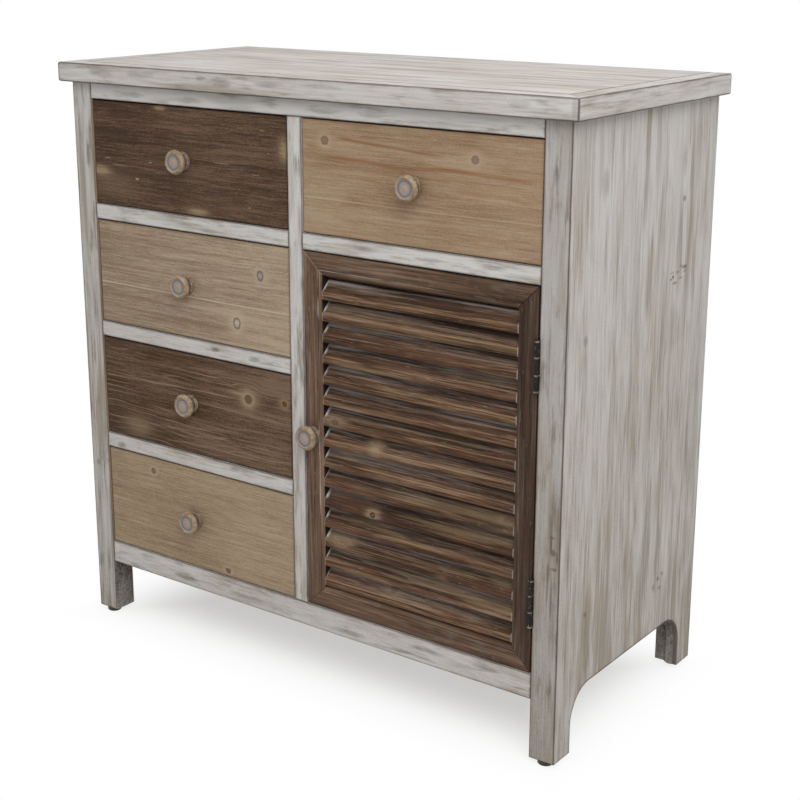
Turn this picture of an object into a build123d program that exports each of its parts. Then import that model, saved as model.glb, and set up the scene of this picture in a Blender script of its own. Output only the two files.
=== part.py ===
"""Floor-standing cabinet: four drawers on the left, a wide drawer over a louvred door on the right.

Frame: X to the right seen from the front, Y to the back, Z up, in millimetres. The origin is on the
floor, under the middle of the box that holds the whole cabinet, knobs included.
"""
from build123d import *
import os

# Heights, from the floor up
glide_height = 7
leg_clearance = 78
bottom_rail_height = 32.5
bottom_row_height = 147
third_row_height = 143.5
second_row_height = 145.5
top_row_height = 143
rail_height = 21
top_rail_height = 21.5
top_thickness = 26

# Widths and depths of the carcass
post_width = 35
bank_width = 346
stile_width = 22
body_depth = 366
frame_depth = 35
side_thickness = 17
back_leg_width = 17
back_leg_depth = 34
partition_thickness = 16
bottom_thickness = 16
dust_panel_thickness = 12
back_panel_thickness = 6
back_rabbet_width = 9

# Top: a field panel with a mitred border on three sides
top_side_overhang = 13.5
top_front_overhang = 12.5
top_back_overhang = 3
border_width = 28
border_ease = 1.5

# Arch in the lower edge of each side panel
arch_foot_width = 38
arch_height = 80
arch_radius = 43

# Foot glides
glide_radius = 10
glide_ease = 1.2
glide_setback = 11.5

# Drawers
front_recess = 1
front_thickness = 18
front_side_gap = 1.5
front_top_gap = 2
front_bottom_gap = 1
front_ease = 1
box_side_gap = 1
box_side_thickness = 12
box_back_thickness = 12
box_headroom = 22
box_rear_gap = 8
drawer_bottom_thickness = 5
drawer_bottom_rise = 9
groove_depth = 6

# Drawer runners, guides and stops
runner_width = 15
runner_clearance = 0.3
guide_height = 15
stop_width = 30
stop_depth = 12
stop_headroom = 3
stop_inset = 60
stop_clearance = 0.3

# Turned knobs
knob_radius = 16
knob_length = 20
knob_neck_radius = 10
knob_head_thickness = 7
knob_face_radius = 13.8
left_knob_shift = -5.6
left_knob_lift = 0.5
fourth_knob_lift = -2.5
wide_knob_shift = -3.2
wide_knob_lift = 1.7

# Louvred door
door_latch_gap = 1.5
door_hinge_gap = 2.4
door_top_gap = 2
door_bottom_gap = 1.5
door_thickness = 20
door_frame_width = 27
door_flat_width = 21
door_quirk_width = 1.2
door_quirk_depth = 1
door_bead_recess = 0.4
door_bead_fall = 1.2
door_rail_slope = 8
door_knob_setback = 11.4
door_knob_drop = 2
slat_count = 15
slat_bottom_gap = 3.5
slat_top_gap = 4.7
slat_recess = 1
slat_nose = 10
slat_rise = 13.5
slat_depth = 18
slat_crest = 4.5
slat_ease = 1.2
tenon_setback = 5
tenon_depth = 7
tenon_height = 4.5
tenon_drop = 1.6
tenon_length = 6

# Butt hinges
hinge_length = 63
hinge_setback = 60
hinge_clearance = 0.3
barrel_radius = 3.1
knuckle_count = 3
knuckle_gap = 0.3
leaf_thickness = 1.2
leaf_width = 17
pin_radius = 1.3
pin_clearance = 0.05

# Magnetic door catch
catch_inset = 70
catch_width = 40
catch_depth = 11
catch_height = 13
catch_gap = 0.3
plate_thickness = 1.2
plate_height = 12
plate_setback = 1
catch_ease = 1

# Cuts that leave a face run this far past it
overrun = 5

# Levels
foot_z = glide_height
bottom_rail_z = foot_z + leg_clearance
row_heights = (bottom_row_height, third_row_height, second_row_height, top_row_height)
row_floors = []
level = bottom_rail_z + bottom_rail_height
for height in row_heights:
    row_floors.append(level)
    level = level + height + rail_height
bottom_z = row_floors[0]
top_rail_z = row_floors[-1] + row_heights[-1]
under_top_z = top_rail_z + top_rail_height
top_z = under_top_z + top_thickness
door_head_z = row_floors[-1] - rail_height

# Places across the cabinet
stile_half = stile_width / 2
opening_edge = stile_half + bank_width
half_width = opening_edge + post_width
side_inner = half_width - side_thickness
back_leg_inner = side_inner - back_leg_width
partition_half = partition_thickness / 2
left_bank = (-opening_edge, -stile_half)
right_bank = (stile_half, opening_edge)

# Places from front to back
knob_reach = knob_length - front_recess
box_depth = knob_reach + body_depth + top_back_overhang
front_y = knob_reach - box_depth / 2
back_y = front_y + body_depth
rail_back = front_y + frame_depth
back_leg_front = back_y - back_leg_depth
back_panel_front = back_y - back_panel_thickness
drawer_face = front_y + front_recess

parts = {}


def block(x_span, y_span, z_span):
    """Box between three pairs of limits."""
    size = [span[1] - span[0] for span in (x_span, y_span, z_span)]
    return Pos(x_span[0], y_span[0], z_span[0]) * Box(*size, align=(Align.MIN, Align.MIN, Align.MIN))


def plan_prism(points, z_span):
    """Solid with an outline of (x, y) points, drawn up through z_span."""
    face = Pos(0, 0, z_span[0]) * Polygon(*points, align=None)
    return extrude(face, z_span[1] - z_span[0], dir=(0, 0, 1))


def side_prism(face, x_span):
    """Solid with a face of (y, z) points, drawn to the right through x_span."""
    plane = Plane((x_span[0], 0, 0), x_dir=(0, 1, 0), z_dir=(1, 0, 0))
    return extrude(plane * face, x_span[1] - x_span[0], dir=(1, 0, 0))


def front_prism(points, y_span):
    """Solid with an outline of (x, z) points, drawn to the back through y_span."""
    plane = Plane((0, y_span[0], 0), x_dir=(1, 0, 0), z_dir=(0, -1, 0))
    return extrude(plane * Polygon(*points, align=None), y_span[1] - y_span[0], dir=(0, 1, 0))


def both_sides(piece):
    """The piece on the right and its mirror image on the left."""
    return piece, mirror(piece, about=Plane.YZ)


def front_legs():
    """Posts with a mitred rebate that takes the front edge of the side panel."""
    outline = [
        (half_width, front_y),
        (opening_edge, front_y),
        (opening_edge, rail_back),
        (side_inner, rail_back),
        (side_inner, front_y + side_thickness),
    ]
    right, left = both_sides(plan_prism(outline, (foot_z, under_top_z)))
    parts["leg_front_right"] = right - hinge_mortises(front_y, opening_edge, opening_edge + leaf_thickness)
    parts["leg_front_left"] = left


def back_legs():
    """Square legs inside the side panels, rebated for the back panel."""
    leg = block((back_leg_inner, side_inner), (back_leg_front, back_y), (foot_z, under_top_z))
    leg -= block(
        (back_leg_inner, back_leg_inner + back_rabbet_width),
        (back_panel_front, back_y),
        (bottom_z - bottom_thickness, under_top_z),
    )
    parts["leg_back_right"], parts["leg_back_left"] = both_sides(leg)


def side_panels():
    """Wide boards, mitred to the front legs, with an arch between the feet."""
    outline = [
        (half_width, front_y),
        (side_inner, front_y + side_thickness),
        (side_inner, back_y),
        (half_width, back_y),
    ]
    board = plan_prism(outline, (foot_z, under_top_z))
    arch_length = body_depth - 2 * arch_foot_width
    arch = Rectangle(arch_length, arch_height + overrun)
    arch = fillet(arch.vertices().group_by(Axis.Y)[-1], arch_radius)
    arch = Pos((front_y + back_y) / 2, foot_z + (arch_height - overrun) / 2) * arch
    board -= side_prism(arch, (side_inner - overrun, half_width + overrun))
    parts["side_panel_right"], parts["side_panel_left"] = both_sides(board)


def rails():
    """Rails between the posts and the stile, all flush with the posts."""
    depth = (front_y, rail_back)
    parts["top_rail"] = block((-opening_edge, opening_edge), depth, (top_rail_z, under_top_z))
    parts["bottom_rail"] = block((-opening_edge, opening_edge), depth, (bottom_rail_z, bottom_z))
    parts["centre_stile"] = block((-stile_half, stile_half), depth, (bottom_z, top_rail_z))
    for name, floor in zip(("lower", "middle", "upper"), row_floors[1:]):
        parts[f"drawer_rail_{name}"] = block(left_bank, depth, (floor - rail_height, floor))
    parts["door_head_rail"] = block(right_bank, depth, (door_head_z, row_floors[-1]))


def inner_boards():
    """Partition, bottom, dust panel and back, cut round the legs."""
    legs = [parts[f"leg_{place}"] for place in ("front_left", "front_right", "back_left", "back_right")]
    depth = (rail_back, back_panel_front)
    parts["centre_partition"] = block((-partition_half, partition_half), depth, (bottom_z, under_top_z))
    bottom = block((-side_inner, side_inner), depth, (bottom_z - bottom_thickness, bottom_z))
    parts["bottom_board"] = bottom - legs
    dust_z = (row_floors[-1] - dust_panel_thickness, row_floors[-1])
    parts["dust_panel"] = block((partition_half, side_inner), depth, dust_z) - legs
    back_edge = back_leg_inner + back_rabbet_width
    parts["back_panel"] = block(
        (-back_edge, back_edge), (back_panel_front, back_y), (bottom_z - bottom_thickness, under_top_z)
    )


def runners_and_stops():
    """Ledges under the drawer sides, guides beside them, and stops behind the fronts."""
    depth = (rail_back, back_leg_front)
    banks = [(left_bank, (-side_inner, -partition_half), floor) for floor in row_floors]
    banks.append((right_bank, (partition_half, side_inner), row_floors[-1]))
    strips = []
    stops = []
    for (low, high), (low_wall, high_wall), floor in banks:
        on_board = floor == bottom_z or low > 0
        guide_z = (floor if on_board else floor - rail_height, floor + guide_height)
        strips.append(block((low_wall, low), depth, guide_z))
        strips.append(block((high, high_wall), depth, guide_z))
        if not on_board:
            strips.append(block((low, low + runner_width), depth, (floor - rail_height, floor)))
            strips.append(block((high - runner_width, high), depth, (floor - rail_height, floor)))
        stop_front = drawer_face + front_thickness + stop_clearance
        stop_y = (stop_front, stop_front + stop_depth)
        stop_z = (floor, floor + drawer_bottom_rise - stop_headroom)
        stops.append(block((low + stop_inset, low + stop_inset + stop_width), stop_y, stop_z))
        stops.append(block((high - stop_inset - stop_width, high - stop_inset), stop_y, stop_z))
    parts["drawer_runners"] = Compound(strips)
    parts["drawer_stops"] = Compound(stops)


def cabinet_top():
    """Field panel and a border of three mitred boards with eased outer edges."""
    outer = half_width + top_side_overhang
    outer_front = front_y - top_front_overhang
    outer_back = back_y + top_back_overhang
    inner = outer - border_width
    inner_front = outer_front + border_width
    z_span = (under_top_z, top_z)
    parts["top_panel"] = block((-inner, inner), (inner_front, outer_back), z_span)
    section = [
        (0, under_top_z + border_ease),
        (border_ease, under_top_z),
        (border_width, under_top_z),
        (border_width, top_z),
        (border_ease, top_z),
        (0, top_z - border_ease),
    ]
    front_section = Polygon(*[(outer_front + across, z) for across, z in section], align=None)
    front = side_prism(front_section, (-outer, outer))
    front_outline = [(-outer, outer_front), (outer, outer_front), (inner, inner_front), (-inner, inner_front)]
    parts["top_border_front"] = front & plan_prism(front_outline, z_span)
    side = front_prism([(outer - across, z) for across, z in section], (outer_front, outer_back))
    side_outline = [(outer, outer_front), (outer, outer_back), (inner, outer_back), (inner, inner_front)]
    side = side & plan_prism(side_outline, z_span)
    parts["top_border_right"], parts["top_border_left"] = both_sides(side)


def glides():
    """Round glides under the four legs, with eased lower rims."""
    glide = Cylinder(glide_radius, glide_height, align=(Align.CENTER, Align.CENTER, Align.MIN))
    glide = chamfer(glide.edges().group_by(Axis.Z)[0], glide_ease)
    front_place = (half_width - post_width / 2, front_y + glide_setback)
    back_place = ((half_width + back_leg_inner) / 2, back_y - back_leg_depth / 2)
    solids = [Pos(sign * x, y, 0) * glide for x, y in (front_place, back_place) for sign in (-1, 1)]
    parts["foot_glides"] = Compound(solids)


def knob(x, y, z):
    """Turned knob on a face at y: a neck to grip behind, and a tapered head."""
    head_start = knob_length - knob_head_thickness
    outline = [
        (0, 0),
        (knob_neck_radius, 0),
        (knob_neck_radius, head_start),
        (knob_radius, head_start),
        (knob_face_radius, knob_length),
        (0, knob_length),
    ]
    turned = revolve(Polygon(*outline, align=None), Axis.Y)
    return Pos(x, y, z) * Rot(0, 0, 180) * turned


def drawer(name, bank, floor, height, shift, lift):
    """Inset drawer: front, two sides, back, bottom let into grooves, and a knob off its middle."""
    low, high = bank
    front_back = drawer_face + front_thickness
    front = block(
        (low + front_side_gap, high - front_side_gap),
        (drawer_face, front_back),
        (floor + front_bottom_gap, floor + height - front_top_gap),
    )
    front = chamfer(front.faces().sort_by(Axis.Y)[0].edges(), front_ease)
    box_low = low + box_side_gap
    box_high = high - box_side_gap
    inner_low = box_low + box_side_thickness
    inner_high = box_high - box_side_thickness
    rear = back_panel_front - box_rear_gap
    box_z = (floor + runner_clearance, floor + height - box_headroom)
    bottom_top = floor + drawer_bottom_rise + drawer_bottom_thickness
    bottom = block(
        (inner_low - groove_depth, inner_high + groove_depth),
        (front_back - groove_depth, rear),
        (floor + drawer_bottom_rise, bottom_top),
    )
    sides = [
        block((box_low, inner_low), (front_back, rear), box_z) - bottom,
        block((inner_high, box_high), (front_back, rear), box_z) - bottom,
    ]
    back = block((inner_low, inner_high), (rear - box_back_thickness, rear), (bottom_top, box_z[1]))
    parts[f"drawer_{name}_front"] = front - bottom
    parts[f"drawer_{name}_sides"] = Compound(sides)
    parts[f"drawer_{name}_back"] = back
    parts[f"drawer_{name}_bottom"] = bottom
    knob_x = (low + high) / 2 + shift
    parts[f"drawer_{name}_knob"] = knob(knob_x, drawer_face, floor + height / 2 + lift)


def drawers():
    """The left bank from the bottom up, then the wide drawer over the door."""
    names = ("fourth", "third", "second", "first")
    lifts = (fourth_knob_lift, left_knob_lift, left_knob_lift, left_knob_lift)
    for name, floor, height, lift in zip(names, row_floors, row_heights, lifts):
        drawer(name, left_bank, floor, height, left_knob_shift, lift)
    drawer("wide", right_bank, row_floors[-1], row_heights[-1], wide_knob_shift, wide_knob_lift)


# Places of the door and its hinge pins
door_span = (stile_half + door_latch_gap, opening_edge - door_hinge_gap)
door_z = (bottom_z + door_bottom_gap, door_head_z - door_top_gap)
door_y = (drawer_face, drawer_face + door_thickness)
pin_x = opening_edge - door_hinge_gap / 2
pin_y = front_y - barrel_radius - hinge_clearance
hinge_floors = (door_z[0] + hinge_setback, door_z[1] - hinge_setback - hinge_length)


def hinge_mortises(face_y, edge, depth_edge):
    """Shallow pockets for the two leaves on one side of the gap."""
    x_span = (min(edge, depth_edge), max(edge, depth_edge))
    return [
        block(x_span, (face_y, face_y + leaf_width), (floor, floor + hinge_length)) for floor in hinge_floors
    ]


def hinge_leaf(floor, face_y, edge, outward, knuckles):
    """One leaf: a plate let into the edge, and its share of the knuckles round the pin."""
    depth_edge = edge + outward * leaf_thickness
    x_span = (min(edge, depth_edge), max(edge, depth_edge))
    leaf = block(x_span, (face_y, face_y + leaf_width), (floor, floor + hinge_length))
    length = (hinge_length - (knuckle_count - 1) * knuckle_gap) / knuckle_count
    for index in knuckles:
        start = floor + index * (length + knuckle_gap)
        leaf += block(x_span, (pin_y, face_y), (start, start + length))
        barrel = Cylinder(barrel_radius, length, align=(Align.CENTER, Align.CENTER, Align.MIN))
        leaf += Pos(pin_x, pin_y, start) * barrel
    bore = Cylinder(
        pin_radius + pin_clearance, hinge_length, align=(Align.CENTER, Align.CENTER, Align.MIN)
    )
    return leaf - Pos(pin_x, pin_y, floor) * bore


def hinges():
    """Two butt hinges: leaves on the post, leaves on the door, and their pins."""
    on_post = range(0, knuckle_count, 2)
    on_door = range(1, knuckle_count, 2)
    post_leaves = [hinge_leaf(floor, front_y, opening_edge, 1, on_post) for floor in hinge_floors]
    door_leaves = [hinge_leaf(floor, door_y[0], door_span[1], -1, on_door) for floor in hinge_floors]
    parts["hinge_frame_leaves"] = Compound(post_leaves)
    parts["hinge_door_leaves"] = Compound(door_leaves)
    pin = Cylinder(pin_radius, hinge_length, align=(Align.CENTER, Align.CENTER, Align.MIN))
    parts["hinge_pins"] = Compound([Pos(pin_x, pin_y, floor) * pin for floor in hinge_floors])


def louvred_door():
    """Mitred frame with a quirked bead, rails sloped towards the slats, and slats tenoned into the stiles."""
    moulding = [
        (0, door_thickness),
        (0, 0),
        (door_flat_width, 0),
        (door_flat_width + door_quirk_width / 2, door_quirk_depth),
        (door_flat_width + door_quirk_width, door_bead_recess),
        (door_frame_width, door_bead_recess + door_bead_fall),
    ]
    stile_section = moulding + [(door_frame_width, door_thickness)]
    rail_section = moulding + [(door_frame_width + door_rail_slope, door_thickness)]
    low, high = door_span
    floor, ceiling = door_z
    inner_low = low + door_frame_width
    inner_high = high - door_frame_width
    inner_floor = floor + door_frame_width
    inner_ceiling = ceiling - door_frame_width
    slats = door_slats(inner_low, inner_high, inner_floor, inner_ceiling)
    middle = Plane(((low + high) / 2, 0, (floor + ceiling) / 2), x_dir=(0, 1, 0), z_dir=(1, 0, 0))
    level_middle = Plane(((low + high) / 2, 0, (floor + ceiling) / 2), x_dir=(1, 0, 0), z_dir=(0, 0, 1))

    stile = plan_prism([(low + across, door_y[0] + depth) for across, depth in stile_section], door_z)
    stile_outline = [(low, floor), (low, ceiling), (inner_low, inner_ceiling), (inner_low, inner_floor)]
    stile = stile & front_prism(stile_outline, door_y)
    parts["door_stile_latch"] = stile - slats
    hinge_side = mirror(stile, about=middle) - slats
    parts["door_stile_hinge"] = hinge_side - hinge_mortises(door_y[0], high, high - leaf_thickness)

    rail_points = [(door_y[0] + depth, ceiling - across) for across, depth in rail_section]
    rail_face = Polygon(*rail_points, align=None)
    rail_outline = [
        (low, ceiling),
        (high, ceiling),
        (inner_high, inner_ceiling),
        (inner_high, inner_ceiling - door_rail_slope),
        (inner_low, inner_ceiling - door_rail_slope),
        (inner_low, inner_ceiling),
    ]
    rail = side_prism(rail_face, door_span) & front_prism(rail_outline, door_y)
    parts["door_rail_top"] = rail
    parts["door_rail_bottom"] = mirror(rail, about=level_middle)
    parts["door_slats"] = Compound(slats)
    parts["door_knob"] = knob(low + door_knob_setback, door_y[0], (floor + ceiling) / 2 - door_knob_drop)


def door_slats(inner_low, inner_high, inner_floor, inner_ceiling):
    """Fixed slats with a blunt nose, sloping up to the back, each with a tenon at both ends."""
    crest_y = slat_depth - slat_crest
    crest_z = slat_nose + slat_rise
    outline = [
        (0, 0),
        (0, slat_nose),
        (crest_y, crest_z),
        (slat_depth, crest_z),
        (slat_depth, slat_rise),
        (slat_crest, 0),
    ]
    face = Polygon(*outline, align=None)
    face = chamfer(face.vertices().group_by(Axis.X)[0], slat_ease)
    body = side_prism(face, (inner_low, inner_high))
    tenon_z = slat_nose - tenon_drop
    body += block(
        (inner_low - tenon_length, inner_high + tenon_length),
        (tenon_setback, tenon_setback + tenon_depth),
        (tenon_z, tenon_z + tenon_height),
    )
    pitch = (inner_ceiling - inner_floor - slat_bottom_gap - slat_top_gap) / slat_count
    first = inner_floor + slat_bottom_gap
    return [Pos(0, door_y[0] + slat_recess, first + index * pitch) * body for index in range(slat_count)]


def door_catch():
    """Magnet case under the head rail and the steel plate that it holds on the door."""
    x_span = (door_span[0] + catch_inset, door_span[0] + catch_inset + catch_width)
    plate_y = (door_y[1], door_y[1] + plate_thickness)
    plate_top = door_z[1] - plate_setback
    parts["catch_plate"] = block(x_span, plate_y, (plate_top - plate_height, plate_top))
    case_y = (plate_y[1] + catch_gap, plate_y[1] + catch_gap + catch_depth)
    case = block(x_span, case_y, (door_head_z - catch_height, door_head_z))
    parts["door_catch"] = chamfer(case.faces().sort_by(Axis.Z)[0].edges(), catch_ease)


front_legs()
back_legs()
side_panels()
rails()
inner_boards()
runners_and_stops()
cabinet_top()
glides()
drawers()
hinges()
louvred_door()
door_catch()

os.makedirs("parts", exist_ok=True)
for node, solid in parts.items():
    export_step(solid, f"parts/{node}.step")
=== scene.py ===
import math

import bmesh
import bpy
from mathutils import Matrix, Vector


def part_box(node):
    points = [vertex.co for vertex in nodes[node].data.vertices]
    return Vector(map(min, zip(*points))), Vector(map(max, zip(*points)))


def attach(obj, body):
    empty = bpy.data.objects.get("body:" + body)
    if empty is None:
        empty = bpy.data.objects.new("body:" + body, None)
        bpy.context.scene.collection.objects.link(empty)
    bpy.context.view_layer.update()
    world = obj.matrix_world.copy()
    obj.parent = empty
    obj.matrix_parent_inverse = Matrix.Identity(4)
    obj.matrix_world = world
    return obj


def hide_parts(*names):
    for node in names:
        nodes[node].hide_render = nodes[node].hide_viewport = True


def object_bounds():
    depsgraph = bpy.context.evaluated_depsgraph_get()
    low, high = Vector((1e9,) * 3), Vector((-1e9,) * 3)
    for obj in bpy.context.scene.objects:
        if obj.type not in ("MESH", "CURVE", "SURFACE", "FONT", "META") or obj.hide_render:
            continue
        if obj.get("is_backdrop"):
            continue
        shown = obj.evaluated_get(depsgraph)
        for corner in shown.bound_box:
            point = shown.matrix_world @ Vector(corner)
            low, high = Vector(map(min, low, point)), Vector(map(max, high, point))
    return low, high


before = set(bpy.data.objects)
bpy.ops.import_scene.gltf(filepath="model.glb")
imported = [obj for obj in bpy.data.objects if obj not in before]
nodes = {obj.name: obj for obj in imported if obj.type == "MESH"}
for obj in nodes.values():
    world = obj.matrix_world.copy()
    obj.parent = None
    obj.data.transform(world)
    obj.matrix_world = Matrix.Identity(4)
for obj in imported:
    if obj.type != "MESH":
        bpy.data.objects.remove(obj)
cad_low, cad_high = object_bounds()

# Front legs. Two square pine posts that run from the glides to the top, mitred to the side panels. They are
# brushed with thin white paint along the grain, so taupe wood shows through in short streaks, and brown glaze
# stays at the edges. Their inner faces are bare in the cabinet and only dabbed with a little grey under it.
RUN_X, RUN_Y, RUN_Z = 0, 1, 2
PAINT_COOL = (0.622, 0.606, 0.582, 1)
PAINT_WARM = (0.535, 0.499, 0.465, 1)
THIN_TAUPE = (0.266, 0.236, 0.191, 1)
THIN_TAN = (0.325, 0.264, 0.2, 1)
THIN_GREEN = (0.4, 0.378, 0.333, 1)
BARE_BROWN = (0.155, 0.109, 0.078, 1)
PIT_BROWN = (0.105, 0.08, 0.061, 1)
GLAZE_DARK = (0.052, 0.033, 0.025, 1)
DABBED_GREY = (0.3, 0.282, 0.25, 1)
SMUDGE_BROWN = (0.212, 0.178, 0.14, 1)
BARE_LIGHT = (0.37, 0.28, 0.185, 1)
BARE_DEEP = (0.24, 0.165, 0.1, 1)
FLOOR_LOW, FLOOR_HIGH = (corner.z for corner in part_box("bottom_board"))
POST_EASE = 0.0009
NARROW_GLAZE = 0.0014
WIDE_GLAZE = 0.0019
RUBBED_EDGE = (0.0008, 0.0036)
RAGGED_PIT = 0.008
PAINTED_RIM = 0.0065
ARCH_FACET = 0.0007
SQUARE_ON = (0.5, 0.8)
NOISE_MIDDLE = 0.5
SEED_STEP = (1, 1.7, 0.6)
BUMP_STRENGTH = 0.6
SAME_POINT = 0.00001
EASE_STEPS = 2
SHARP_EDGE = math.radians(32)


class Wire:
    """One output in a finish's node tree. Arithmetic adds Math nodes, and node() adds any other node."""

    def __init__(self, tree, output=None):
        self.tree = tree
        self.output = output

    def node(self, kind, settings=None, sockets=None, out=0):
        made = self.tree.nodes.new(kind)
        for name, value in (settings or {}).items():
            setattr(made, name, value)
        for name, value in (sockets or {}).items():
            if isinstance(value, Wire):
                self.tree.links.new(value.output, made.inputs[name])
            else:
                made.inputs[name].default_value = value
        return Wire(self.tree, made.outputs[out])

    def maths(self, operation, other=0.0):
        return self.node("ShaderNodeMath", {"operation": operation}, {0: self, 1: other})

    def __add__(self, other):
        return self.maths("ADD", other)

    __radd__ = __add__

    def __sub__(self, other):
        return self.maths("SUBTRACT", other)

    def __rsub__(self, other):
        return self.node("ShaderNodeMath", {"operation": "SUBTRACT"}, {0: other, 1: self})

    def __mul__(self, other):
        return self.maths("MULTIPLY", other)

    __rmul__ = __mul__

    def __truediv__(self, other):
        return self.maths("DIVIDE", other)

    def __pow__(self, other):
        return self.maths("POWER", other)

    def __abs__(self):
        return self.maths("ABSOLUTE")

    def at_least(self, other):
        return self.maths("MAXIMUM", other)

    def at_most(self, other):
        return self.maths("MINIMUM", other)

    def swing(self, amount=1.0):
        """Noise as a push to either side, by up to half this amount."""
        return (self - NOISE_MIDDLE) * amount

    def between(self, low, high):
        """0 up to low and 1 from high on, eased from one to the other."""
        ends = {"Value": self, "From Min": low, "From Max": high}
        return self.node("ShaderNodeMapRange", {"interpolation_type": "SMOOTHSTEP"}, ends)

    def short_of(self, low, high):
        """1 up to low and 0 from high on, eased from one to the other."""
        return 1 - self.between(low, high)

    def band(self, start, full, fade, end):
        """1 from full to fade, eased to 0 at start and end."""
        return self.between(start, full) * self.short_of(fade, end)

    def mix(self, first, second):
        """The first colour where this wire is 0, the second where it is 1."""
        return self.node("ShaderNodeMix", {"data_type": "RGBA"}, {0: self, 6: first, 7: second}, 2)

    def parts(self):
        """The x, y and z of a place."""
        outputs = self.node("ShaderNodeSeparateXYZ", None, {0: self}).output.node.outputs
        return [Wire(self.tree, output) for output in outputs]

    def fibres(self, run, across, along, seed, detail=3, rough=0.6):
        """Noise drawn out along one axis: so many features in a metre across the grain and along it."""
        scale = [across] * 3
        scale[run] = along
        moved = {0: self, 1: scale, 2: [seed * step for step in SEED_STEP]}
        place = self.node("ShaderNodeVectorMath", {"operation": "MULTIPLY_ADD"}, moved)
        noise = {"Vector": place, "Scale": 1, "Detail": detail, "Roughness": rough}
        return self.node("ShaderNodeTexNoise", None, noise)

    def oval(self, up, spot, rough=0.0):
        """The square of how far out this place across, and a place up, are in an oval spot.

        It is 0 in the middle and 1 on the outline, which rough noise breaks up. A spot is its middle across
        and up, then half its width and height."""
        across_middle, up_middle, wide, tall = spot
        return ((self - across_middle) / wide) ** 2 + ((up - up_middle) / tall) ** 2 + rough


def new_finish(name):
    """A material, its shader, and the place of each point in the cabinet's frame."""
    material = bpy.data.materials.new(name)
    material.use_nodes = True
    shader = material.node_tree.nodes["Principled BSDF"]
    return material, shader, Wire(material.node_tree).node("ShaderNodeTexCoord", out="Object")


def lay_on(shader, colour, roughness, height, depth, gloss=0.5):
    """Joins colour, roughness and a surface that stands up to depth high to a finish's shader."""
    links = colour.tree.links
    links.new(colour.output, shader.inputs["Base Color"])
    links.new(roughness.output, shader.inputs["Roughness"])
    raised = {"Height": height, "Strength": BUMP_STRENGTH, "Distance": depth}
    links.new(height.node("ShaderNodeBump", None, raised).output, shader.inputs["Normal"])
    shader.inputs["Specular IOR Level"].default_value = gloss


def shaded(colour, shade):
    """A colour made so many times as light."""
    return (*(shade * part for part in colour[:3]), 1)


def edge_distance(place, low, high):
    """How far a point on a board's surface is from the board's nearest edge."""
    gaps = [(part - start).at_most(end - part) for part, start, end in zip(place.parts(), low, high)]
    less = gaps[0].at_most(gaps[1])
    more = gaps[0].at_least(gaps[1])
    return less.at_least(more.at_most(gaps[2]))


def dress(name, material, ease=0.0):
    """Gives a solid its finish, and eases its edges as sanding does."""
    piece = nodes[name]
    for slot in piece.material_slots:
        slot.material = material
    if ease:
        piece.modifiers.new("joined", "WELD").merge_threshold = SAME_POINT
        eased = piece.modifiers.new("eased", "BEVEL")
        eased.width = ease
        eased.segments = EASE_STEPS
        eased.limit_method = "ANGLE"
        eased.angle_limit = SHARP_EDGE


def dabbed(place, up, seed):
    """Dark bare wood dabbed with grey, more of it towards the floor."""
    specks = place.fibres(RUN_Z, 330, 230, seed, rough=0.7)
    clouds = place.fibres(RUN_Z, 60, 30, seed + 3, detail=2)
    return (specks.swing(2.2) + clouds.swing(1.5) + 0.85 - up * 6).mix(GLAZE_DARK, DABBED_GREY)


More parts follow.
